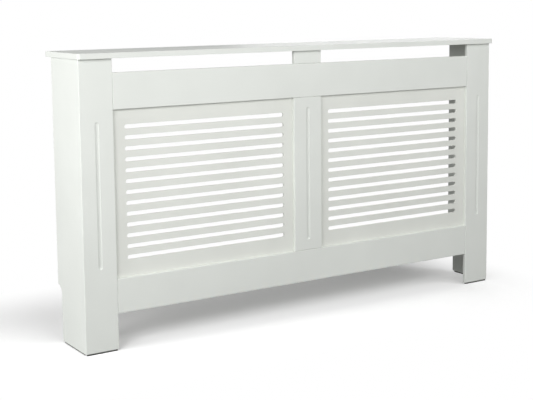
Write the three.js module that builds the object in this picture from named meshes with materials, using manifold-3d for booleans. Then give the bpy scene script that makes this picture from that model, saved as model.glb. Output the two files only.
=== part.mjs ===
// Free-standing radiator cover cabinet: a shelf on two side panels and a framed
// front with two slotted grille panels. Millimetres, +X to the right as seen from
// the front, +Y towards the wall, +Z up. The origin is on the floor, under the
// middle of the shelf.

import * as THREE from "three";
import Module from "manifold-3d";

const wasm = await Module();
wasm.setup();

// ---------------------------------------------------------------- driving sizes

const overallWidth = 1468;
const overallDepth = 224;
const overallHeight = 815;

const shelfThickness = 15;
const shelfSideOverhang = 5;
const shelfFrontOverhang = 12;
const shelfCornerRadius = 8;
const shelfArris = 2;

const bodyDepth = 185;
const frameThickness = 10;
const frameArris = 1.5;
const sideThickness = 9;
const stileWidth = 97;
const topGapHeight = 38.5;
const topRailHeight = 99.5;
const bottomRailHeight = 96.5;
const legHeight = 103;
const seamGap = 0.3;

const skirtingDepth = 26;
const skirtingHeight = 163;
const heelRadius = 4;

const grooveWidth = 12;
const grooveDepth = 5;
const grooveSillMargin = 32;
const grooveHeadMargin = 30.5;
const grooveEndSides = 16;

const grilleThickness = 6;
const grilleOverlap = 15;
const slotHeight = 12;
const slotPitch = 30;
const slotOuterMargin = 37;
const slotInnerMargin = 32;
const slotTopMargin = 42.7;
const slotLeastBottomMargin = 40;

const padThickness = 4;
const padInset = 1;
const padEndInset = 4;

const battenSize = 20;
const battenLift = 7;
const cleatSize = 18;
const cleatLength = 48;
const centreCleatWidth = 60;
const battenScrewFootRoom = 40;
const battenScrewHeadRoom = 80;
const battenScrewStagger = 20;
const cleatScrewEndRoom = 14.4;
const centreScrewSpacing = 30;
const grilleScrewEndRoom = 92.5;

const dowelDiameter = 6;
const dowelLength = 30;
const dowelFlutes = 8;
const fluteDepth = 0.35;
const dowelChamfer = 0.8;
const dowelClearance = 0.15;
const dowelEndRoom = 1;
const dowelEdgeDistance = 22;

const grilleScrew = { length: 13, diameter: 3.5, headDiameter: 7, headHeight: 2.2, panHead: true };
const battenScrew = { length: 25, diameter: 4, headDiameter: 8, headHeight: 2.6, panHead: false };
const shelfScrew = { length: 29, diameter: 4, headDiameter: 8, headHeight: 2.6, panHead: false };
const screwThreadPitch = 4;
const screwCoreShare = 0.7;
const screwPointLength = 3;
const screwClearance = 0.1;
const screwSides = 8;
const panCrownShare = 0.6;
const panRimShare = 0.4;
const recessWidth = 0.9;
const recessShare = 0.55;
const recessDepthShare = 0.7;
const cutterRoom = 1;
const holeSides = 12;

// --------------------------------------------------------------- derived places

const bodyWidth = overallWidth - 2 * shelfSideOverhang;
const bodyTop = overallHeight - shelfThickness;
const topRailTop = bodyTop - topGapHeight;
const windowTop = topRailTop - topRailHeight;
const windowBottom = legHeight + bottomRailHeight;
const windowHeight = windowTop - windowBottom;
const openingOuter = bodyWidth / 2 - stileWidth;
const openingInner = stileWidth / 2;
const stileCentre = bodyWidth / 2 - stileWidth / 2;
const sideInner = bodyWidth / 2 - sideThickness;
const frontFaceY = shelfFrontOverhang - overallDepth / 2;
const shelfBackY = overallDepth - shelfFrontOverhang;
const grooveLength = windowHeight - grooveSillMargin - grooveHeadMargin;
const grooveMiddle = windowBottom + grooveSillMargin + grooveLength / 2;
const slotSpan = windowHeight - slotTopMargin - slotHeight - slotLeastBottomMargin;
const slotCount = Math.floor(slotSpan / slotPitch) + 1;
const sides = [
  { word: "left", sign: -1 },
  { word: "right", sign: 1 },
];

// -------------------------------------------------------------------- materials

function finish(name, colour, roughness, metalness) {
  const material = new THREE.MeshStandardMaterial({ color: colour, roughness, metalness });
  material.name = name;
  return material;
}

const paintedBoard = finish("painted_board", 0xe3e5e0, 0.45, 0);
const paintedGrille = finish("painted_grille", 0xdddfd9, 0.5, 0);
const softwood = finish("softwood", 0xd2b184, 0.7, 0);
const beech = finish("beech", 0xc79a63, 0.65, 0);
const zincSteel = finish("zinc_steel", 0xb4b6b4, 0.35, 0.9);
const darkFelt = finish("dark_felt", 0x4b4c48, 0.95, 0);

// ---------------------------------------------------------------- solid helpers

const group = new THREE.Group();
group.name = "radiator_cover";
group.position.y = frontFaceY;

const alongX = new THREE.Matrix4().makeBasis(
  new THREE.Vector3(0, 1, 0),
  new THREE.Vector3(0, 0, 1),
  new THREE.Vector3(1, 0, 0),
);
const facingFront = new THREE.Matrix4().makeBasis(
  new THREE.Vector3(1, 0, 0),
  new THREE.Vector3(0, 0, 1),
  new THREE.Vector3(0, -1, 0),
);

// Welds a geometry's corners and hands it to the boolean kernel.
function toSolid(geometry) {
  const source = geometry.index ? geometry.toNonIndexed() : geometry;
  const positions = source.getAttribute("position");
  const known = new Map();
  const vertices = [];
  const corners = [];
  for (let i = 0; i < positions.count; i += 1) {
    const point = [positions.getX(i), positions.getY(i), positions.getZ(i)];
    const key = point.map((value) => Math.round(value * 1e4)).join();
    if (!known.has(key)) {
      known.set(key, vertices.length / 3);
      vertices.push(...point);
    }
    corners.push(known.get(key));
  }
  const triangles = [];
  for (let i = 0; i < corners.length; i += 3) {
    const [a, b, c] = corners.slice(i, i + 3);
    if (a !== b && b !== c && a !== c) {
      triangles.push(a, b, c);
    }
  }
  return new wasm.Manifold(new wasm.Mesh({
    numProp: 3,
    vertProperties: new Float32Array(vertices),
    triVerts: new Uint32Array(triangles),
  }));
}

function toGeometry(solid) {
  const mesh = solid.getMesh();
  const geometry = new THREE.BufferGeometry();
  geometry.setAttribute("position", new THREE.BufferAttribute(mesh.vertProperties, 3));
  geometry.setIndex(new THREE.BufferAttribute(mesh.triVerts, 1));
  geometry.computeVertexNormals();
  return geometry;
}

function addPiece(name, solid, material) {
  const mesh = new THREE.Mesh(toGeometry(solid), material);
  mesh.name = name;
  group.add(mesh);
}

function cutAll(solid, cutters) {
  return cutters.reduce((rest, cutter) => rest.subtract(cutter), solid);
}

// A box from its low corner and its size.
function box(low, size) {
  const geometry = new THREE.BoxGeometry(...size);
  geometry.translate(low[0] + size[0] / 2, low[1] + size[1] / 2, low[2] + size[2] / 2);
  return toSolid(geometry);
}

// A round bar from one point along a unit direction.
function bar(start, direction, radius, length, segments) {
  const geometry = new THREE.CylinderGeometry(radius, radius, length, segments);
  geometry.translate(0, length / 2, 0);
  const up = new THREE.Vector3(0, 1, 0);
  const turn = new THREE.Quaternion().setFromUnitVectors(up, new THREE.Vector3(...direction));
  geometry.applyQuaternion(turn);
  geometry.translate(...start);
  return toSolid(geometry);
}

// ----------------------------------------------------------------- front boards

// A board in the plane of the front, its four front edges eased. It runs from its
// low corner (x, z) and has its face at y = 0.
function facedBoard(x, z, width, height) {
  const outline = new THREE.Shape();
  outline.moveTo(frameArris, frameArris);
  outline.lineTo(width - frameArris, frameArris);
  outline.lineTo(width - frameArris, height - frameArris);
  outline.lineTo(frameArris, height - frameArris);
  outline.closePath();
  const geometry = new THREE.ExtrudeGeometry(outline, {
    depth: frameThickness - frameArris,
    bevelThickness: frameArris,
    bevelSize: frameArris,
    bevelSegments: 2,
  });
  geometry.applyMatrix4(facingFront);
  geometry.translate(x, frameThickness, z);
  const eased = toSolid(geometry);
  const keep = box([x, 0, z], [width, frameThickness, height]);
  return eased.intersect(keep);
}

// The V-shaped flute down the middle of a stile, with the cone-shaped ends that a
// V cutter leaves.
function flute(x) {
  const half = grooveWidth / 2;
  const run = grooveLength / 2 - half;
  const section = new THREE.Shape();
  section.moveTo(-half, 0);
  section.lineTo(half, 0);
  section.lineTo(0, grooveDepth);
  section.closePath();
  const straight = new THREE.ExtrudeGeometry(section, { depth: 2 * run, bevelEnabled: false });
  straight.translate(x, 0, grooveMiddle - run);
  const ends = [-run, run].map((offset) => {
    const cone = new THREE.ConeGeometry(half, grooveDepth, grooveEndSides);
    cone.translate(x, grooveDepth / 2, 0);
    cone.translate(0, 0, grooveMiddle + offset);
    return toSolid(cone);
  });
  return ends.reduce((whole, end) => whole.add(end), toSolid(straight));
}

// --------------------------------------------------------------- dowels, screws

// Every dowel: its name, its middle and the direction it lies in.
function dowelPlaces() {
  const places = [];
  const middleY = frameThickness / 2;
  const rails = [
    { word: "top_rail", low: windowTop, high: topRailTop },
    { word: "bottom_rail", low: legHeight, high: windowBottom },
  ];
  for (const rail of rails) {
    for (const side of sides) {
      const x = side.sign * openingOuter;
      const heights = [rail.low + dowelEdgeDistance, rail.high - dowelEdgeDistance];
      heights.forEach((z, index) => {
        const name = `${rail.word}_${side.word}_dowel_${index + 1}`;
        places.push({ name, middle: [x, middleY, z], direction: [1, 0, 0] });
      });
    }
  }
  const uprights = [
    { word: "centre_stile_top", z: windowTop },
    { word: "centre_stile_bottom", z: windowBottom },
    { word: "centre_block", z: topRailTop },
  ];
  for (const upright of uprights) {
    [-1, 1].forEach((sign, index) => {
      const x = sign * (openingInner - dowelEdgeDistance);
      const name = `${upright.word}_dowel_${index + 1}`;
      places.push({ name, middle: [x, middleY, upright.z], direction: [0, 0, 1] });
    });
  }
  return places;
}

function dowelHole(place) {
  const reach = dowelLength / 2 + dowelEndRoom;
  const start = place.middle.map((value, axis) => value - place.direction[axis] * reach);
  return bar(start, place.direction, dowelDiameter / 2 + dowelClearance, 2 * reach, holeSides);
}

// A fluted dowel: a ribbed rod kept inside a round envelope with chamfered ends.
function dowel(place) {
  const crest = dowelDiameter / 2;
  const half = dowelLength / 2;
  const outline = new THREE.Shape();
  const points = 2 * dowelFlutes;
  for (let i = 0; i < points; i += 1) {
    const angle = (i / points) * 2 * Math.PI;
    const radius = crest - (i % 2) * fluteDepth;
    const step = i === 0 ? "moveTo" : "lineTo";
    outline[step](radius * Math.cos(angle), radius * Math.sin(angle));
  }
  outline.closePath();
  const ribbed = new THREE.ExtrudeGeometry(outline, { depth: dowelLength, bevelEnabled: false });
  ribbed.translate(0, 0, -half);
  const envelope = new THREE.LatheGeometry([
    new THREE.Vector2(0, -half),
    new THREE.Vector2(crest - dowelChamfer, -half),
    new THREE.Vector2(crest + fluteDepth, dowelChamfer - half),
    new THREE.Vector2(crest + fluteDepth, half - dowelChamfer),
    new THREE.Vector2(crest - dowelChamfer, half),
    new THREE.Vector2(0, half),
  ], 2 * dowelFlutes);
  envelope.rotateX(Math.PI / 2);
  const along = new THREE.Vector3(0, 0, 1);
  const way = new THREE.Vector3(...place.direction);
  const matrix = new THREE.Matrix4().compose(
    new THREE.Vector3(...place.middle),
    new THREE.Quaternion().setFromUnitVectors(along, way),
    new THREE.Vector3(1, 1, 1),
  );
  return toSolid(ribbed).intersect(toSolid(envelope)).transform(matrix.toArray());
}

// The half profile of a screw that points along +Y with the underside of its head
// (pan head) or the top of its head (countersunk head) at y = 0.
function screwProfile(kind) {
  const outer = kind.diameter / 2;
  const core = outer * screwCoreShare;
  const head = kind.headDiameter / 2;
  const profile = [];
  let y = 0;
  if (kind.panHead) {
    profile.push([0, -kind.headHeight]);
    profile.push([head * panCrownShare, -kind.headHeight]);
    profile.push([head, -kind.headHeight * panRimShare]);
    profile.push([head, 0]);
  } else {
    profile.push([0, 0], [head, 0]);
    y = kind.headHeight;
  }
  profile.push([core, y]);
  const threadEnd = kind.length - screwPointLength;
  for (y += screwThreadPitch / 2; y + screwThreadPitch / 2 <= threadEnd; y += screwThreadPitch) {
    profile.push([core, y]);
    profile.push([outer, y + screwThreadPitch / 2]);
  }
  profile.push([core, threadEnd], [0, kind.length]);
  return profile.map(([radius, height]) => new THREE.Vector2(radius, height));
}

// One screw with its cross recess, put at a point and turned to its direction.
function screw(place) {
  const kind = place.kind;
  const lathe = new THREE.LatheGeometry(screwProfile(kind), screwSides);
  const top = kind.panHead ? -kind.headHeight : 0;
  const arm = kind.headDiameter * recessShare;
  const deep = kind.headHeight * recessDepthShare;
  const blades = [[arm, recessWidth], [recessWidth, arm]].map(([width, depth]) => {
    const low = [-width / 2, top - cutterRoom, -depth / 2];
    return box(low, [width, deep + cutterRoom, depth]);
  });
  const body = cutAll(toSolid(lathe), blades);
  const up = new THREE.Vector3(0, 1, 0);
  const turn = new THREE.Quaternion().setFromUnitVectors(up, new THREE.Vector3(...place.direction));
  const matrix = new THREE.Matrix4().compose(
    new THREE.Vector3(...place.point),
    turn,
    new THREE.Vector3(1, 1, 1),
  );
  return body.transform(matrix.toArray());
}

// The room a screw takes in the boards that it passes through.
function screwHole(place) {
  const kind = place.kind;
  const shank = bar(
    place.point,
    place.direction,
    kind.diameter / 2 + screwClearance,
    kind.length + screwClearance,
    screwSides,
  );
  if (kind.panHead) {
    return shank;
  }
  const wide = kind.headDiameter / 2 + screwClearance;
  const narrow = kind.diameter / 2;
  const depth = kind.headHeight + screwClearance;
  const seat = new THREE.CylinderGeometry(narrow, wide, depth, screwSides);
  seat.translate(0, depth / 2, 0);
  const up = new THREE.Vector3(0, 1, 0);
  const way = new THREE.Vector3(...place.direction);
  seat.applyQuaternion(new THREE.Quaternion().setFromUnitVectors(up, way));
  seat.translate(...place.point);
  return shank.add(toSolid(seat));
}

// Screws through the edge of a grille panel into the back of the stiles.
function grilleScrewPlaces(side) {
  const y = frameThickness + grilleThickness;
  const inset = grilleOverlap / 2;
  const columns = [
    { word: "inner", x: openingInner - inset },
    { word: "outer", x: openingOuter + inset },
  ];
  const rows = [
    { word: "lower", z: windowBottom + grilleScrewEndRoom },
    { word: "upper", z: windowTop - grilleScrewEndRoom },
  ];
  return columns.flatMap((column) => rows.map((row) => ({
    name: `${side.word}_grille_screw_${row.word}_${column.word}`,
    kind: grilleScrew,
    point: [side.sign * column.x, y, row.z],
    direction: [0, -1, 0],
  })));
}

// Screws through a corner batten: two into the side panel, two into the stile.
function battenScrewPlaces(side) {
  const middle = battenSize / 2;
  const inner = sideInner - battenSize;
  const low = legHeight + battenLift + battenScrewFootRoom;
  const high = bodyTop - battenScrewHeadRoom;
  return [low, high].flatMap((z, index) => [
    {
      name: `${side.word}_batten_side_screw_${index + 1}`,
      kind: battenScrew,
      point: [side.sign * inner, frameThickness + middle, z],
      direction: [side.sign, 0, 0],
    },
    {
      name: `${side.word}_batten_stile_screw_${index + 1}`,
      kind: battenScrew,
      point: [side.sign * (inner + middle), frameThickness + battenSize, z + battenScrewStagger],
      direction: [0, -1, 0],
    },
  ]);
}

// Screws up through the cleats into the shelf, and one from each cleat sideways.
function cleatScrewPlaces(side) {
  const x = side.sign * (sideInner - cleatSize / 2);
  const cleatFront = frameThickness + battenSize + seamGap;
  const nearY = cleatFront + cleatScrewEndRoom;
  const farY = cleatFront + cleatLength - cleatScrewEndRoom;
  const upward = [nearY, farY].map((y, index) => ({
    name: `${side.word}_shelf_screw_${index + 1}`,
    kind: shelfScrew,
    point: [x, y, bodyTop - cleatSize],
    direction: [0, 0, 1],
  }));
  const sideways = {
    name: `${side.word}_cleat_screw`,
    kind: battenScrew,
    point: [side.sign * (sideInner - cleatSize), (nearY + farY) / 2, bodyTop - cleatSize / 2],
    direction: [side.sign, 0, 0],
  };
  return [...upward, sideways];
}

function centreScrewPlaces() {
  return [-1, 1].map((sign, index) => ({
    name: `centre_shelf_screw_${index + 1}`,
    kind: shelfScrew,
    point: [
      (sign * centreScrewSpacing) / 2,
      frameThickness + battenSize / 2,
      bodyTop - cleatSize,
    ],
    direction: [0, 0, 1],
  }));
}

const dowels = dowelPlaces();
const dowelHoles = dowels.map(dowelHole);
const screws = [
  ...sides.flatMap(grilleScrewPlaces),
  ...sides.flatMap(battenScrewPlaces),
  ...sides.flatMap(cleatScrewPlaces),
  ...centreScrewPlaces(),
];
const screwHoles = screws.map(screwHole);

// Keeps only the holes that reach into the box a board fills, then cuts them.
function drill(board, holes) {
  const limits = board.boundingBox();
  const reaching = holes.filter((hole) => {
    const reach = hole.boundingBox();
    return [0, 1, 2].every((axis) => (
      reach.min[axis] < limits.max[axis] && reach.max[axis] > limits.min[axis]
    ));
  });
  return cutAll(board, reaching);
}

// ------------------------------------------------------------- the pieces proper

function addShelf() {
  const half = overallWidth / 2 - shelfArris;
  const front = -shelfFrontOverhang + shelfArris;
  const back = shelfBackY + shelfThickness;
  const round = shelfCornerRadius - shelfArris;
  const outline = new THREE.Shape();
  outline.moveTo(-half, back);
  outline.lineTo(-half, front + round);
  outline.absarc(-half + round, front + round, round, Math.PI, 1.5 * Math.PI);
  outline.lineTo(half - round, front);
  outline.absarc(half - round, front + round, round, 1.5 * Math.PI, 2 * Math.PI);
  outline.lineTo(half, back);
  outline.closePath();
  const geometry = new THREE.ExtrudeGeometry(outline, {
    depth: shelfThickness - 2 * shelfArris,
    bevelThickness: shelfArris,
    bevelSize: shelfArris,
    bevelSegments: 3,
    curveSegments: 5,
  });
  geometry.translate(0, 0, bodyTop + shelfArris);
  const squareBack = box(
    [-overallWidth, shelfBackY, bodyTop - shelfThickness],
    [2 * overallWidth, 2 * shelfThickness, 3 * shelfThickness],
  );
  const shelf = toSolid(geometry).subtract(squareBack);
  addPiece("top_shelf", drill(shelf, screwHoles), paintedBoard);
}

// A side panel: a board on edge with the skirting-board notch in its lower rear.
function addSidePanel(side) {
  const top = bodyTop;
  const notchY = bodyDepth - skirtingDepth;
  const outline = new THREE.Shape();
  outline.moveTo(frameThickness, padThickness);
  outline.lineTo(notchY - heelRadius, padThickness);
  outline.absarc(notchY - heelRadius, padThickness + heelRadius, heelRadius, -Math.PI / 2, 0);
  outline.lineTo(notchY, skirtingHeight - skirtingDepth);
  outline.absarc(bodyDepth, skirtingHeight - skirtingDepth, skirtingDepth, Math.PI, Math.PI / 2, true);
  outline.lineTo(bodyDepth, top);
  outline.lineTo(frameThickness, top);
  outline.closePath();
  const geometry = new THREE.ExtrudeGeometry(outline, {
    depth: sideThickness,
    bevelEnabled: false,
    curveSegments: 6,
  });
  geometry.applyMatrix4(alongX);
  geometry.translate(side.sign > 0 ? sideInner : -bodyWidth / 2, 0, 0);
  addPiece(`${side.word}_side_panel`, drill(toSolid(geometry), screwHoles), paintedBoard);
}

function addStile(side) {
  const x = side.sign > 0 ? openingOuter : -bodyWidth / 2;
  const blank = facedBoard(x, padThickness, stileWidth, bodyTop - padThickness);
  const fluted = blank.subtract(flute(side.sign * stileCentre));
  const drilled = drill(drill(fluted, dowelHoles), screwHoles);
  addPiece(`${side.word}_front_stile`, drilled, paintedBoard);
}

function addRail(name, bottom, height) {
  const width = 2 * openingOuter - 2 * seamGap;
  const blank = facedBoard(-width / 2, bottom, width, height);
  addPiece(name, drill(drill(blank, dowelHoles), screwHoles), paintedBoard);
}

function addCentrePieces() {
  const stile = facedBoard(
    -openingInner,
    windowBottom + seamGap,
    stileWidth,
    windowHeight - 2 * seamGap,
  );
  const fluted = stile.subtract(flute(0));
  addPiece("centre_stile", drill(drill(fluted, dowelHoles), screwHoles), paintedBoard);
  const block = facedBoard(
    -openingInner,
    topRailTop + seamGap,
    stileWidth,
    topGapHeight - seamGap,
  );
  addPiece("centre_top_block", drill(block, dowelHoles), paintedBoard);
}

// A grille panel: a thin board behind the window with a ladder of round-ended slots.
function addGrillePanel(side) {
  const left = openingInner - grilleOverlap;
  const right = openingOuter + grilleOverlap;
  const outline = new THREE.Shape();
  outline.moveTo(left, windowBottom - grilleOverlap);
  outline.lineTo(right, windowBottom - grilleOverlap);
  outline.lineTo(right, windowTop + grilleOverlap);
  outline.lineTo(left, windowTop + grilleOverlap);
  outline.closePath();
  const radius = slotHeight / 2;
  const slotLeft = openingInner + slotInnerMargin + radius;
  const slotRight = openingOuter - slotOuterMargin - radius;
  for (let i = 0; i < slotCount; i += 1) {
    const z = windowTop - slotTopMargin - radius - i * slotPitch;
    const slot = new THREE.Path();
    slot.moveTo(slotLeft, z - radius);
    slot.lineTo(slotRight, z - radius);
    slot.absarc(slotRight, z, radius, -Math.PI / 2, Math.PI / 2);
    slot.lineTo(slotLeft, z + radius);
    slot.absarc(slotLeft, z, radius, Math.PI / 2, 1.5 * Math.PI);
    outline.holes.push(slot);
  }
  const geometry = new THREE.ExtrudeGeometry(outline, {
    depth: grilleThickness,
    bevelEnabled: false,
    curveSegments: 4,
  });
  geometry.applyMatrix4(facingFront);
  geometry.translate(0, frameThickness + grilleThickness, 0);
  if (side.sign < 0) {
    geometry.rotateZ(Math.PI);
    geometry.translate(0, 2 * frameThickness + grilleThickness, 0);
  }
  addPiece(`${side.word}_grille_panel`, drill(toSolid(geometry), screwHoles), paintedGrille);
}

// Bare timber inside the cabinet that ties the stile, the side and the shelf together.
function addTimbers(side) {
  const inner = side.sign > 0 ? sideInner - battenSize : -sideInner;
  const bottom = legHeight + battenLift;
  const batten = box(
    [inner, frameThickness, bottom],
    [battenSize, battenSize, bodyTop - bottom],
  );
  addPiece(`${side.word}_corner_batten`, drill(batten, screwHoles), softwood);
  const cleatX = side.sign > 0 ? sideInner - cleatSize : -sideInner;
  const cleat = box(
    [cleatX, frameThickness + battenSize + seamGap, bodyTop - cleatSize],
    [cleatSize, cleatLength, cleatSize],
  );
  addPiece(`${side.word}_shelf_cleat`, drill(cleat, screwHoles), softwood);
}

function addCentreCleat() {
  const cleat = box(
    [-centreCleatWidth / 2, frameThickness, bodyTop - cleatSize],
    [centreCleatWidth, battenSize, cleatSize],
  );
  addPiece("centre_shelf_cleat", drill(cleat, screwHoles), softwood);
}

// Felt strips under the stile and under the side panel of one leg.
function addPads(side) {
  const outer = bodyWidth / 2 - padInset;
  const stripLength = stileWidth - 2 * padEndInset;
  const stripX = side.sign > 0 ? openingOuter + padEndInset : -openingOuter - padEndInset - stripLength;
  const front = box(
    [stripX, padInset, 0],
    [stripLength, frameThickness - 2 * padInset, padThickness],
  );
  addPiece(`${side.word}_front_foot_pad`, front, darkFelt);
  const width = sideThickness - 2 * padInset;
  const rear = box(
    [side.sign > 0 ? outer - width : -outer, frameThickness + padEndInset, 0],
    [width, bodyDepth - skirtingDepth - heelRadius - frameThickness - 2 * padEndInset, padThickness],
  );
  addPiece(`${side.word}_side_foot_pad`, rear, darkFelt);
}

addShelf();
sides.forEach(addSidePanel);
sides.forEach(addStile);
addRail("top_rail", windowTop, topRailHeight);
addRail("bottom_rail", legHeight, bottomRailHeight);
addCentrePieces();
sides.forEach(addGrillePanel);
sides.forEach(addTimbers);
addCentreCleat();
sides.forEach(addPads);
dowels.forEach((place) => addPiece(place.name, dowel(place), beech));
screws.forEach((place) => addPiece(place.name, screw(place), zincSteel));

export default group;
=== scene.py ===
import math

import bmesh
import bpy
from mathutils import Euler, Matrix, Vector, noise


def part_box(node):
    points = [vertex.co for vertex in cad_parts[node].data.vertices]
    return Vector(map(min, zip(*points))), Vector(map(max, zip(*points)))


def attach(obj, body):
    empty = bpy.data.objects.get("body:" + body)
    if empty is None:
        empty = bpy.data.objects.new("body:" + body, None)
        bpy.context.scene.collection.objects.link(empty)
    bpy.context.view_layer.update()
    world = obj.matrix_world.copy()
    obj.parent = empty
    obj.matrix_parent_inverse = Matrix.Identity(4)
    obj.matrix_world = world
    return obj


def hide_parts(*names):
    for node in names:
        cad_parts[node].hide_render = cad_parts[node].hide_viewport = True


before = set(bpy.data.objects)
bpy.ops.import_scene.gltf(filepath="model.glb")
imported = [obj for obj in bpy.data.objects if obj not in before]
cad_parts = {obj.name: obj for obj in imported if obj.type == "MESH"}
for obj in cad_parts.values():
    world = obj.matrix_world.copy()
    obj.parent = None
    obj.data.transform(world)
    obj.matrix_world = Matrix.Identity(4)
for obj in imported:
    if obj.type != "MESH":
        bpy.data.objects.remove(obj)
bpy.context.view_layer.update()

MM = 0.001

# ------------------------------------------------------------------ detail sizes
# Sizes in millimetres of what the boards of the frame carry: rounded edges, the
# flutes, the slots and the heads of the screws.

SHELF_CORNER = 8.0
SHELF_ARRIS = 2.0
BOARD_ARRIS = 1.5
SAWN_ARRIS = 0.35
GRILLE_ARRIS = 0.5
TIMBER_ARRIS = 0.9
FLUTE_WIDTH = 12.0
FLUTE_DEPTH = 5.0
FLUTE_SILL_MARGIN = 32.0
FLUTE_HEAD_MARGIN = 30.5
SLOT_HEIGHT = 12.0
SLOT_PITCH = 30.0
SLOT_COUNT = 13
SLOT_OUTER_MARGIN = 37.0
SLOT_INNER_MARGIN = 32.0
SLOT_TOP_MARGIN = 42.7
GRILLE_OVERLAP = 15.0
SKIRTING_DEPTH = 26.0
SKIRTING_HEIGHT = 163.0
HEEL_RADIUS = 4.0
FELT_RIPPLE = 0.35
FELT_CELL = 2.5
FELT_WAVES_PER_MM = 0.45
ARC_STEPS = 12
SHARP_CORNER = math.radians(30)

# ---------------------------------------------------------------- node materials


class Nodes:
    """A small helper that adds and links the nodes of one material."""

    def __init__(self, name):
        self.material = bpy.data.materials.new(name)
        self.material.use_nodes = True
        self.tree = self.material.node_tree
        self.shader = self.tree.nodes["Principled BSDF"]

    def add(self, kind, **values):
        node = self.tree.nodes.new(kind)
        for key, value in values.items():
            if hasattr(node, key):
                setattr(node, key, value)
            else:
                node.inputs[key.replace("_", " ")].default_value = value
        return node

    def link(self, source, target):
        self.tree.links.new(source, target)

    def place(self, scale=(1.0, 1.0, 1.0), turn=(0.0, 0.0, 0.0)):
        """Object coordinates in metres, turned and then stretched."""
        where = self.add("ShaderNodeTexCoord")
        mapping = self.add("ShaderNodeMapping")
        mapping.inputs["Rotation"].default_value = turn
        mapping.inputs["Scale"].default_value = scale
        self.link(where.outputs["Object"], mapping.inputs["Vector"])
        return mapping.outputs["Vector"]

    def noise(self, vector, scale, detail=3.0, rough=0.55):
        node = self.add("ShaderNodeTexNoise", Scale=scale, Detail=detail, Roughness=rough)
        self.link(vector, node.inputs["Vector"])
        return node.outputs["Fac"]

    def ramp(self, value, stops):
        """A colour ramp; stops are (position, colour) pairs."""
        node = self.add("ShaderNodeValToRGB")
        band = node.color_ramp
        while len(band.elements) < len(stops):
            band.elements.new(0.5)
        for element, (position, colour) in zip(band.elements, stops):
            element.position = position
            element.color = (*colour, 1.0)
        self.link(value, node.inputs["Fac"])
        return node.outputs["Color"]

    def span(self, value, low, high):
        """Maps a value from 0..1 to low..high."""
        node = self.add("ShaderNodeMapRange")
        node.inputs["To Min"].default_value = low
        node.inputs["To Max"].default_value = high
        self.link(value, node.inputs["Value"])
        return node.outputs["Result"]

    def bumps(self, layers):
        """Stacks bump layers, each (height, strength, distance in metres)."""
        normal = None
        for height, strength, distance in layers:
            node = self.add("ShaderNodeBump", Strength=strength, Distance=distance)
            self.link(height, node.inputs["Height"])
            if normal is not None:
                self.link(normal, node.inputs["Normal"])
            normal = node.outputs["Normal"]
        self.link(normal, self.shader.inputs["Normal"])


def srgb(red, green, blue):
    """A colour from 0..255 display values to the linear values a shader takes."""

    def one(value):
        value = value / 255
        return value / 12.92 if value <= 0.04045 else ((value + 0.055) / 1.055) ** 2.4

    return (one(red), one(green), one(blue))


def paint(name, pale, deep, rough_low, rough_high):
    """Sprayed satin paint on fibreboard: faint clouding and a fine orange peel."""
    made = Nodes(name)
    where = made.place()
    clouds = made.noise(where, 4.5, detail=2.0)
    made.link(made.ramp(clouds, [(0.35, deep), (0.65, pale)]), made.shader.inputs["Base Color"])
    sheen = made.noise(where, 38.0, detail=4.0)
    made.link(made.span(sheen, rough_low, rough_high), made.shader.inputs["Roughness"])
    peel = made.noise(where, 620.0, detail=2.0)
    levelling = made.noise(where, 60.0, detail=1.0)
    made.bumps([(levelling, 0.12, 0.0006), (peel, 0.10, 0.00012)])
    made.shader.inputs["IOR"].default_value = 1.46
    made.shader.inputs["Specular IOR Level"].default_value = 0.2
    return made.material


def planed_timber(name, turn):
    """Planed pine whose grain runs along Z before the turn."""
    made = Nodes(name)
    where = made.place(scale=(1.0, 1.0, 0.045), turn=turn)
    rings = made.noise(where, 150.0, detail=4.0, rough=0.6)
    pores = made.noise(where, 900.0, detail=3.0, rough=0.7)
    late = srgb(176, 136, 88)
    early = srgb(220, 188, 142)
    pale = srgb(231, 204, 162)
    colour = made.ramp(rings, [(0.28, late), (0.47, early), (0.72, pale)])
    made.link(colour, made.shader.inputs["Base Color"])
    made.link(made.span(pores, 0.58, 0.82), made.shader.inputs["Roughness"])
    made.bumps([(rings, 0.25, 0.0004), (pores, 0.35, 0.0002)])
    return made.material


def dowel_wood(name):
    """Beech with the short dark flecks of its rays."""
    made = Nodes(name)
    where = made.place()
    grain = made.noise(where, 320.0, detail=4.0)
    flecks = made.noise(where, 1500.0, detail=2.0)
    colour = made.ramp(grain, [(0.3, srgb(170, 124, 78)), (0.7, srgb(209, 164, 112))])
    made.link(colour, made.shader.inputs["Base Color"])
    made.link(made.span(flecks, 0.5, 0.8), made.shader.inputs["Roughness"])
    made.bumps([(flecks, 0.3, 0.0001)])
    return made.material


def zinc(name):
    """Bright zinc plate, slightly clouded by handling."""
    made = Nodes(name)
    where = made.place()
    cloud = made.noise(where, 260.0, detail=4.0)
    fine = made.noise(where, 2400.0, detail=2.0)
    colour = made.ramp(cloud, [(0.3, srgb(158, 160, 158)), (0.7, srgb(205, 206, 203))])
    made.link(colour, made.shader.inputs["Base Color"])
    made.link(made.span(cloud, 0.24, 0.42), made.shader.inputs["Roughness"])
    made.bumps([(fine, 0.15, 0.00003)])
    made.shader.inputs["Metallic"].default_value = 0.95
    return made.material


def felt(name):
    """Dark needled felt with a matted pile; its dark grey is partly the felt's own colour and
    partly painted shade for the contact shadow line under the legs.
    """
    made = Nodes(name)
    where = made.place()
    mat = made.noise(where, 420.0, detail=6.0, rough=0.75)
    fibre = made.noise(made.place(scale=(1.0, 4.0, 1.0)), 1400.0, detail=3.0, rough=0.7)
    # The dark grey of these stops is partly painted shade: the pads show as the dark shadow line
    # along the bottom of the legs.
    colour = made.ramp(mat, [(0.3, srgb(52, 53, 49)), (0.7, srgb(92, 93, 87))])
    made.link(colour, made.shader.inputs["Base Color"])
    made.link(made.span(mat, 0.85, 1.0), made.shader.inputs["Roughness"])
    made.bumps([(mat, 0.8, 0.0006), (fibre, 0.6, 0.0002)])
    made.shader.inputs["Sheen Weight"].default_value = 0.4
    return made.material


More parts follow.
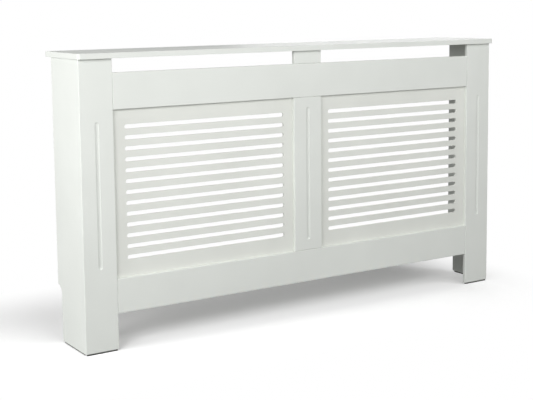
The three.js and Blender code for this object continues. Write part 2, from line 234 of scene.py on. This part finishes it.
QUARTER = math.pi / 2
WHITE_PAINT = paint("white_paint", srgb(229, 232, 227), srgb(225, 228, 223), 0.40, 0.52)
GRILLE_PAINT = paint("grille_paint", srgb(229, 231, 225), srgb(224, 226, 220), 0.44, 0.56)
PINE_UPRIGHT = planed_timber("pine_upright", (0.0, 0.0, 0.0))
PINE_DEEP = planed_timber("pine_deep", (QUARTER, 0.0, 0.0))
PINE_ACROSS = planed_timber("pine_across", (0.0, QUARTER, 0.0))
BEECH = dowel_wood("beech")
ZINC = zinc("zinc")
FELT_AND_PAINTED_SHADE = felt("felt")

# --------------------------------------------------------------- outline helpers


def arc(centre, radius, start, end, steps=ARC_STEPS):
    """Points on an arc, both ends included; angles in degrees."""
    points = []
    for i in range(steps + 1):
        angle = math.radians(start + (end - start) * i / steps)
        points.append((centre[0] + radius * math.cos(angle), centre[1] + radius * math.sin(angle)))
    return points


def slab(low, high):
    """The four corners of a rectangle."""
    return [(low[0], low[1]), (high[0], low[1]), (high[0], high[1]), (low[0], high[1])]


def lay_front(u, v, w):
    """A board in the plane of the front: across, up, and back from its face."""
    return Vector((u, w, v))


def lay_side(u, v, w):
    """A board on edge at one side: back, up, and across."""
    return Vector((w, u, v))


def lay_flat(u, v, w):
    """A board that lies flat: across, back, and up."""
    return Vector((u, v, w))


class Board:
    """A board cut from a sheet, with its own rounding on each group of edges."""

    def __init__(self, name, lay, near, far):
        self.name = name
        self.lay = lay
        self.near = near
        self.far = far
        self.mesh = bmesh.new()
        self.weight = self.mesh.edges.layers.float.new("bevel_weight_edge")
        self.caps = {near: [], far: []}
        self.largest = 0.0
        self.softened = []

    def corner(self, point, level):
        return self.mesh.verts.new(self.lay(point[0] * MM, point[1] * MM, level * MM))

    def loop(self, points, level):
        verts = [self.corner(point, level) for point in points]
        edges = [self.mesh.edges.new((a, b)) for a, b in zip(verts, verts[1:] + verts[:1])]
        self.caps[level].extend(edges)
        return verts, edges

    def soften(self, edges, radius):
        self.largest = max(self.largest, radius)
        self.softened.extend((edge, radius) for edge in edges)

    def cut(self, points, near_radius, far_radius, upright_radius=SAWN_ARRIS):
        """An outline or a hole through the whole board; its sharp corners are eased."""
        near_verts, near_edges = self.loop(points, self.near)
        far_verts, far_edges = self.loop(points, self.far)
        count = len(points)
        for i in range(count):
            j = (i + 1) % count
            self.mesh.faces.new((near_verts[i], near_verts[j], far_verts[j], far_verts[i]))
        self.soften(near_edges, near_radius)
        self.soften(far_edges, far_radius)
        for i in range(count):
            arriving = Vector(points[i]) - Vector(points[i - 1])
            leaving = Vector(points[(i + 1) % count]) - Vector(points[i])
            if arriving.angle(leaving) > SHARP_CORNER:
                upright = self.mesh.edges.get((near_verts[i], far_verts[i]))
                self.soften([upright], upright_radius)

    def flute(self, middle, low, high):
        """A V groove in the near face, with the round ends of its cutter."""
        half = FLUTE_WIDTH / 2
        lower = (middle, low + half)
        upper = (middle, high - half)
        rim = arc(lower, half, 180, 360) + arc(upper, half, 0, 180)
        verts, edges = self.loop(rim, self.near)
        depth = self.near + FLUTE_DEPTH
        foot = self.corner(lower, depth)
        head = self.corner(upper, depth)
        steps = ARC_STEPS
        for i in range(steps):
            self.mesh.faces.new((verts[i], verts[i + 1], foot))
            k = steps + 1 + i
            self.mesh.faces.new((verts[k], verts[k + 1], head))
        self.mesh.faces.new((verts[steps], verts[steps + 1], head, foot))
        self.mesh.faces.new((verts[-1], verts[0], foot, head))
        self.soften(edges, SAWN_ARRIS)

    def finish(self, material, node, segments=3):
        for edges in self.caps.values():
            bmesh.ops.triangle_fill(self.mesh, use_beauty=True, edges=edges)
        bmesh.ops.recalc_face_normals(self.mesh, faces=self.mesh.faces)
        for edge, radius in self.softened:
            edge[self.weight] = radius / self.largest
        return place_piece(
            self.name, self.mesh, material, [node],
            round_edges=(self.largest * MM, segments),
        )


def place_piece(name, mesh, material, nodes, round_edges=None):
    """Turns a bmesh into a piece that rides on the body and stands for its nodes."""
    data = bpy.data.meshes.new(name)
    for face in mesh.faces:
        face.smooth = True
    mesh.to_mesh(data)
    mesh.free()
    piece = bpy.data.objects.new(name, data)
    bpy.context.scene.collection.objects.link(piece)
    data.materials.append(material)
    if round_edges:
        bevel = piece.modifiers.new("rounded_edges", "BEVEL")
        bevel.limit_method = "WEIGHT"
        bevel.width, bevel.segments = round_edges
        bevel.harden_normals = True
        bevel.use_clamp_overlap = True
        piece.modifiers.new("even_shading", "WEIGHTED_NORMAL").keep_sharp = True
    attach(piece, "root")
    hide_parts(*nodes)
    return piece


def box_mm(node):
    """The low and high corner of a node of the frame, in millimetres."""
    low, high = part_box(node)
    return Vector(low) / MM, Vector(high) / MM


# --------------------------------------------------------------- painted boards


def make_shelf():
    low, high = box_mm("top_shelf")
    outline = (
        [(high.x, high.y), (low.x, high.y)]
        + arc((low.x + SHELF_CORNER, low.y + SHELF_CORNER), SHELF_CORNER, 180, 270)
        + arc((high.x - SHELF_CORNER, low.y + SHELF_CORNER), SHELF_CORNER, 270, 360)
    )
    board = Board("shelf", lay_flat, low.z, high.z)
    board.cut(outline, SHELF_ARRIS, SHELF_ARRIS)
    return board.finish(WHITE_PAINT, "top_shelf", segments=4)


def make_side(word):
    node = f"{word}_side_panel"
    low, high = box_mm(node)
    notch = high.y - SKIRTING_DEPTH
    cove = SKIRTING_HEIGHT - SKIRTING_DEPTH
    outline = (
        [(low.y, low.z)]
        + arc((notch - HEEL_RADIUS, low.z + HEEL_RADIUS), HEEL_RADIUS, 270, 360)
        + arc((high.y, cove), SKIRTING_DEPTH, 180, 90)
        + [(high.y, high.z), (low.y, high.z)]
    )
    board = Board(f"{word}_side", lay_side, low.x, high.x)
    board.cut(outline, SAWN_ARRIS, SAWN_ARRIS)
    return board.finish(WHITE_PAINT, node)


def flute_reach():
    """The lowest and highest point of every flute, from the window in the front."""
    sill = box_mm("bottom_rail")[1].z
    head = box_mm("top_rail")[0].z
    return sill + FLUTE_SILL_MARGIN, head - FLUTE_HEAD_MARGIN


def make_front_board(name, node, fluted):
    low, high = box_mm(node)
    board = Board(name, lay_front, low.y, high.y)
    board.cut(slab((low.x, low.z), (high.x, high.z)), BOARD_ARRIS, SAWN_ARRIS)
    if fluted:
        board.flute((low.x + high.x) / 2, *flute_reach())
    return board.finish(WHITE_PAINT, node, segments=4)


def make_grille(word, sign):
    node = f"{word}_grille_panel"
    low, high = box_mm(node)
    board = Board(f"{word}_grille", lay_front, low.y, high.y)
    board.cut(slab((low.x, low.z), (high.x, high.z)), GRILLE_ARRIS, GRILLE_ARRIS)
    radius = SLOT_HEIGHT / 2
    inner_margin = GRILLE_OVERLAP + SLOT_INNER_MARGIN + radius
    outer_margin = GRILLE_OVERLAP + SLOT_OUTER_MARGIN + radius
    left_margin = inner_margin if sign > 0 else outer_margin
    right_margin = outer_margin if sign > 0 else inner_margin
    left, right = low.x + left_margin, high.x - right_margin
    top = high.z - GRILLE_OVERLAP - SLOT_TOP_MARGIN - radius
    for row in range(SLOT_COUNT):
        z = top - row * SLOT_PITCH
        slot = arc((right, z), radius, -90, 90) + arc((left, z), radius, 90, 270)
        board.cut(slot, GRILLE_ARRIS, GRILLE_ARRIS)
    return board.finish(GRILLE_PAINT, node, segments=2)


# ------------------------------------------------------------- timbers and pads


def make_timber(name, node, material):
    low, high = box_mm(node)
    board = Board(name, lay_front, low.y, high.y)
    outline = slab((low.x, low.z), (high.x, high.z))
    board.cut(outline, TIMBER_ARRIS, TIMBER_ARRIS, TIMBER_ARRIS)
    return board.finish(material, node)


def make_pad(name, node):
    """A felt strip: a fine grid of faces whose sides are pulled in by its pile."""
    low, high = box_mm(node)
    size = high - low
    mesh = bmesh.new()
    bmesh.ops.create_cube(mesh, size=1.0)
    steps = [max(2, round(length / FELT_CELL)) for length in size]
    for axis, count in enumerate(steps):
        for cut in range(1, count):
            share = cut / count - 0.5
            where = Vector((0, 0, 0))
            where[axis] = share
            facing = Vector((0, 0, 0))
            facing[axis] = 1.0
            geometry = mesh.verts[:] + mesh.edges[:] + mesh.faces[:]
            bmesh.ops.bisect_plane(mesh, geom=geometry, plane_co=where, plane_no=facing)
    middle = (low + high) / 2
    for vert in mesh.verts:
        point = Vector([middle[i] + vert.co[i] * size[i] for i in range(3)])
        pull = FELT_RIPPLE * (0.5 + 0.5 * noise.noise(point * FELT_WAVES_PER_MM))
        for axis in (0, 1):
            on_a_side = abs(vert.co[axis]) > 0.49
            if on_a_side:
                point[axis] -= math.copysign(pull, vert.co[axis])
        vert.co = point * MM
    return place_piece(name, mesh, FELT_AND_PAINTED_SHADE, [node])


# ------------------------------------------------------------------------ screws

SCREW_SIDES = 24
THREAD_PITCH = 1.6
THREAD_ROWS = 4
THREAD_CORE_SHARE = 0.68
RECESS_ARM_SHARE = 0.30
RECESS_HALF_WIDTH = 0.45
RECESS_DEPTH_SHARE = 0.62
RECESS_FLOOR_SHARE = 0.6
PAN_HEAD_HEIGHT = 2.2
PAN_RIM_TOP = 1.3
PAN_CROWN_SHARE = 0.62
PAN_SHOULDER_SHARE = 0.86
PAN_SHOULDER_TOP = 0.35
FLAT_HEAD_HEIGHT = 2.6
FLAT_HEAD_RIM = 0.3
POINT_LENGTH = 3.0
HEAD_TO_SHANK = 0.5


def ring(mesh, radius, height):
    """A ring of corners round the axis of a screw; radius may be a function."""
    verts = []
    for i in range(SCREW_SIDES):
        angle = 2 * math.pi * i / SCREW_SIDES
        reach = radius(angle) if callable(radius) else radius
        verts.append(mesh.verts.new((reach * math.cos(angle), reach * math.sin(angle), height)))
    return verts


def skin(mesh, lower, upper):
    for i in range(SCREW_SIDES):
        j = (i + 1) % SCREW_SIDES
        mesh.faces.new((lower[i], lower[j], upper[j], upper[i]))


def cross_outline(arm, half_width):
    """The twelve corners of a cross recess, going round its centre."""
    points = []
    for turn in range(4):
        angle = turn * math.pi / 2
        for across, along in ((half_width, half_width), (half_width, arm), (-half_width, arm)):
            x = across * math.cos(angle) - along * math.sin(angle)
            y = across * math.sin(angle) + along * math.cos(angle)
            points.append((x, y))
    return points


def screw_mesh(head_diameter, length, pan):
    """A screw along +Z, its head's top at height 0 and its point at its length."""
    mesh = bmesh.new()
    head = head_diameter / 2
    outer = head * HEAD_TO_SHANK
    core = outer * THREAD_CORE_SHARE
    if pan:
        rows = [
            (head * PAN_CROWN_SHARE, 0.0),
            (head * PAN_SHOULDER_SHARE, PAN_SHOULDER_TOP),
            (head, PAN_RIM_TOP),
            (head, PAN_HEAD_HEIGHT),
            (core, PAN_HEAD_HEIGHT),
        ]
        head_height = PAN_HEAD_HEIGHT
    else:
        rows = [(head, 0.0), (head, FLAT_HEAD_RIM), (core, FLAT_HEAD_HEIGHT)]
        head_height = FLAT_HEAD_HEIGHT
    rings = [ring(mesh, radius, height) for radius, height in rows]
    thread_end = length - POINT_LENGTH
    steps = int((thread_end - head_height) / THREAD_PITCH * THREAD_ROWS)
    for step in range(1, steps + 1):
        height = head_height + step * THREAD_PITCH / THREAD_ROWS

        def thread(angle, height=height):
            phase = (height / THREAD_PITCH - angle / (2 * math.pi)) % 1.0
            crest = max(0.0, 1.0 - abs(phase - 0.5) * 4)
            return core + (outer - core) * crest

        rings.append(ring(mesh, thread, height))
    rings.append(ring(mesh, core, thread_end))
    for lower, upper in zip(rings, rings[1:]):
        skin(mesh, lower, upper)
    point = mesh.verts.new((0.0, 0.0, length))
    for i in range(SCREW_SIDES):
        mesh.faces.new((rings[-1][i], rings[-1][(i + 1) % SCREW_SIDES], point))
    outline = cross_outline(head * 2 * RECESS_ARM_SHARE, RECESS_HALF_WIDTH)
    mouth = [mesh.verts.new((x, y, 0.0)) for x, y in outline]
    depth = head_height * RECESS_DEPTH_SHARE
    share = RECESS_FLOOR_SHARE
    floor = [mesh.verts.new((x * share, y * share, depth)) for x, y in outline]
    for i in range(len(mouth)):
        j = (i + 1) % len(mouth)
        mesh.faces.new((mouth[i], mouth[j], floor[j], floor[i]))
    mesh.faces.new(floor)
    top_edges = [mesh.edges.get((a, b)) for a, b in zip(rings[0], rings[0][1:] + rings[0][:1])]
    top_edges += [mesh.edges.get((a, b)) for a, b in zip(mouth, mouth[1:] + mouth[:1])]
    bmesh.ops.triangle_fill(mesh, use_beauty=True, edges=top_edges)
    bmesh.ops.recalc_face_normals(mesh, faces=mesh.faces)
    return mesh


def screw_direction(node):
    """Where the point of a screw of the frame looks, from its name."""
    outward = Vector((-1 if node.startswith("left") else 1, 0, 0))
    if "shelf_screw" in node:
        return Vector((0, 0, 1))
    if "side_screw" in node or "cleat_screw" in node:
        return outward
    return Vector((0, -1, 0))


def make_screw(node):
    low, high = box_mm(node)
    direction = screw_direction(node)
    size = high - low
    length = abs(size.dot(direction))
    across = max(size[axis] for axis in range(3) if not direction[axis])
    middle = (low + high) / 2
    start = middle - direction * length / 2
    mesh = screw_mesh(across, length, pan="grille_screw" in node)
    turn = Vector((0, 0, 1)).rotation_difference(direction).to_matrix().to_4x4()
    mesh.transform(Matrix.Scale(MM, 4) @ Matrix.Translation(start) @ turn)
    name = node.replace("screw", "wood_screw")
    piece = place_piece(name, mesh, ZINC, [node])
    piece.modifiers.new("even_shading", "WEIGHTED_NORMAL")
    return piece


# ---------------------------------------------------------------- the whole part


def make_cabinet():
    make_shelf()
    for word, sign in (("left", -1), ("right", 1)):
        make_side(word)
        make_front_board(f"{word}_stile", f"{word}_front_stile", fluted=True)
        make_grille(word, sign)
        make_timber(f"{word}_batten", f"{word}_corner_batten", PINE_UPRIGHT)
        make_timber(f"{word}_cleat", f"{word}_shelf_cleat", PINE_DEEP)
        make_pad(f"{word}_front_pad", f"{word}_front_foot_pad")
        make_pad(f"{word}_side_pad", f"{word}_side_foot_pad")
    make_front_board("upper_rail", "top_rail", fluted=False)
    make_front_board("lower_rail", "bottom_rail", fluted=False)
    make_front_board("middle_stile", "centre_stile", fluted=True)
    make_front_board("middle_block", "centre_top_block", fluted=False)
    make_timber("centre_cleat", "centre_shelf_cleat", PINE_ACROSS)
    for node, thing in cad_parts.items():
        if "screw" in node:
            make_screw(node)
        if "dowel" in node:
            for index in range(len(thing.material_slots)):
                thing.material_slots[index].material = BEECH


# ------------------------------------------------------- floor, lights and camera
# The floor keeps the shadow inside a rectangle, in metres, and past it fades to
# plain white over SHADOW_FADE.

FLOOR_WIDTH = 40.0
FLOOR_BOUNCE = (0.25, 0.25, 0.25)
FLOOR_GAIN = 0.25
SHADOW_MIDDLE = (-0.12, 0.12)
SHADOW_HALF = (0.66, 0.16)
SHADOW_FADE = 0.40
SKY_STRENGTH = 0.12


def seen_rays(tree):
    """1 for what the camera sees, also in gloss and through glass, 0 for plain light."""
    rays = tree.nodes.new("ShaderNodeLightPath")
    seen = rays.outputs["Is Camera Ray"]
    for kind in ("Is Glossy Ray", "Is Transmission Ray"):
        either = tree.nodes.new("ShaderNodeMath")
        either.operation = "MAXIMUM"
        tree.links.new(seen, either.inputs[0])
        tree.links.new(rays.outputs[kind], either.inputs[1])
        seen = either.outputs["Value"]
    return seen


def far_from_cabinet(made):
    """0 on the floor where the shadow is kept, and 1 past the width of its fade."""
    where = made.add("ShaderNodeTexCoord")
    parts = made.add("ShaderNodeSeparateXYZ")
    made.link(where.outputs["Object"], parts.inputs["Vector"])
    squares = []
    for axis, middle, half in zip("XY", SHADOW_MIDDLE, SHADOW_HALF):
        offset = made.add("ShaderNodeMath", operation="SUBTRACT")
        made.link(parts.outputs[axis], offset.inputs[0])
        offset.inputs[1].default_value = middle
        size = made.add("ShaderNodeMath", operation="ABSOLUTE")
        made.link(offset.outputs["Value"], size.inputs[0])
        outside = made.add("ShaderNodeMath", operation="SUBTRACT")
        made.link(size.outputs["Value"], outside.inputs[0])
        outside.inputs[1].default_value = half
        clipped = made.add("ShaderNodeMath", operation="MAXIMUM")
        made.link(outside.outputs["Value"], clipped.inputs[0])
        clipped.inputs[1].default_value = 0.0
        square = made.add("ShaderNodeMath", operation="MULTIPLY")
        made.link(clipped.outputs["Value"], square.inputs[0])
        made.link(clipped.outputs["Value"], square.inputs[1])
        squares.append(square.outputs["Value"])
    total = made.add("ShaderNodeMath", operation="ADD")
    made.link(squares[0], total.inputs[0])
    made.link(squares[1], total.inputs[1])
    distance = made.add("ShaderNodeMath", operation="SQRT")
    made.link(total.outputs["Value"], distance.inputs[0])
    fade = made.add("ShaderNodeMapRange", interpolation_type="SMOOTHSTEP")
    fade.inputs["From Min"].default_value = 0.0
    fade.inputs["From Max"].default_value = SHADOW_FADE
    made.link(distance.outputs["Value"], fade.inputs["Value"])
    return fade.outputs["Result"]


def make_floor():
    """A wide white floor that keeps the soft shadow of the cabinet."""
    mesh = bmesh.new()
    bmesh.ops.create_grid(mesh, x_segments=8, y_segments=8, size=FLOOR_WIDTH / 2)
    data = bpy.data.meshes.new("floor")
    mesh.to_mesh(data)
    mesh.free()
    floor = bpy.data.objects.new("floor", data)
    bpy.context.scene.collection.objects.link(floor)
    made = Nodes("floor_white")
    tree = made.tree
    tree.nodes.remove(made.shader)
    for_light = made.add("ShaderNodeBsdfDiffuse")
    for_light.inputs["Color"].default_value = (*FLOOR_BOUNCE, 1.0)
    for_eye = made.add("ShaderNodeBsdfDiffuse")
    for_eye.inputs["Color"].default_value = (1.0, 1.0, 1.0, 1.0)
    extra = made.add("ShaderNodeBsdfDiffuse")
    extra.inputs["Color"].default_value = (FLOOR_GAIN, FLOOR_GAIN, FLOOR_GAIN, 1.0)
    brighter = made.add("ShaderNodeAddShader")
    made.link(for_eye.outputs["BSDF"], brighter.inputs[0])
    made.link(extra.outputs["BSDF"], brighter.inputs[1])
    pure = made.add("ShaderNodeEmission")
    pure.inputs["Strength"].default_value = 1.0
    away = made.add("ShaderNodeMixShader")
    made.link(far_from_cabinet(made), away.inputs["Fac"])
    made.link(brighter.outputs["Shader"], away.inputs[1])
    made.link(pure.outputs["Emission"], away.inputs[2])
    choice = made.add("ShaderNodeMixShader")
    made.link(seen_rays(tree), choice.inputs["Fac"])
    made.link(for_light.outputs["BSDF"], choice.inputs[1])
    made.link(away.outputs["Shader"], choice.inputs[2])
    made.link(choice.outputs["Shader"], tree.nodes["Material Output"].inputs["Surface"])
    data.materials.append(made.material)


def make_world():
    """Weak even light, and plain white for the camera, for gloss and through glass."""
    world = bpy.data.worlds.new("white_room")
    bpy.context.scene.world = world
    world.use_nodes = True
    tree = world.node_tree
    back = tree.nodes["Background"]
    back.inputs["Color"].default_value = (1.0, 1.0, 1.0, 1.0)
    level = tree.nodes.new("ShaderNodeMapRange")
    level.inputs["To Min"].default_value = SKY_STRENGTH
    level.inputs["To Max"].default_value = 1.0
    tree.links.new(seen_rays(tree), level.inputs["Value"])
    tree.links.new(level.outputs["Result"], back.inputs["Strength"])


def add_softbox(name, position, aim, width, height, watts):
    lamp = bpy.data.lights.new(name, "AREA")
    lamp.shape = "RECTANGLE"
    lamp.size = width
    lamp.size_y = height
    lamp.energy = watts
    holder = bpy.data.objects.new(name, lamp)
    bpy.context.scene.collection.objects.link(holder)
    holder.location = position
    gaze = Vector(aim) - Vector(position)
    holder.rotation_euler = gaze.to_track_quat("-Z", "Y").to_euler()
    holder.visible_camera = False


def make_lights():
    add_softbox("front_middle", (0.0, -2.2, 1.3), (0.0, 0.0, 0.6), 2.4, 0.9, 27.0)
    add_softbox("front_right", (2.0, -2.0, 2.0), (0.3, 0.0, 0.4), 1.2, 1.2, 17.5)
    add_softbox("front_left", (-2.2, -1.4, 1.4), (-0.5, 0.0, 0.5), 1.0, 1.0, 27.0)
    add_softbox("far_left", (-3.0, -0.2, 1.1), (-0.7, 0.0, 0.5), 1.2, 1.4, 37.0)
    add_softbox("back_right", (2.2, 2.4, 1.2), (0.0, 0.0, 0.4), 1.6, 1.2, 19.0)


def make_camera():
    """The photograph's viewpoint: left of the front, a little above the shelf."""
    viewpoint = (-1.8985, -2.8489, 0.9484)
    shift_up = -0.130
    yaw = 32.51
    pitch = 6.598
    roll = 0.608
    focal_length_px = 1127.5
    picture_width_px = 533
    camera = bpy.data.cameras.new("camera")
    camera.sensor_width = 36.0
    camera.lens = focal_length_px * camera.sensor_width / picture_width_px
    camera.shift_y = shift_up
    camera.clip_end = 200.0
    holder = bpy.data.objects.new("camera", camera)
    bpy.context.scene.collection.objects.link(holder)
    turn = (
        Euler((0, 0, math.radians(-yaw))).to_matrix()
        @ Euler((math.radians(90 - pitch), 0, 0)).to_matrix()
        @ Euler((0, 0, math.radians(-roll))).to_matrix()
    )
    holder.rotation_euler = turn.to_euler()
    holder.location = viewpoint
    bpy.context.scene.camera = holder


make_cabinet()
make_floor()
make_world()
make_lights()
make_camera()
bpy.context.scene.view_settings.view_transform = "Standard"
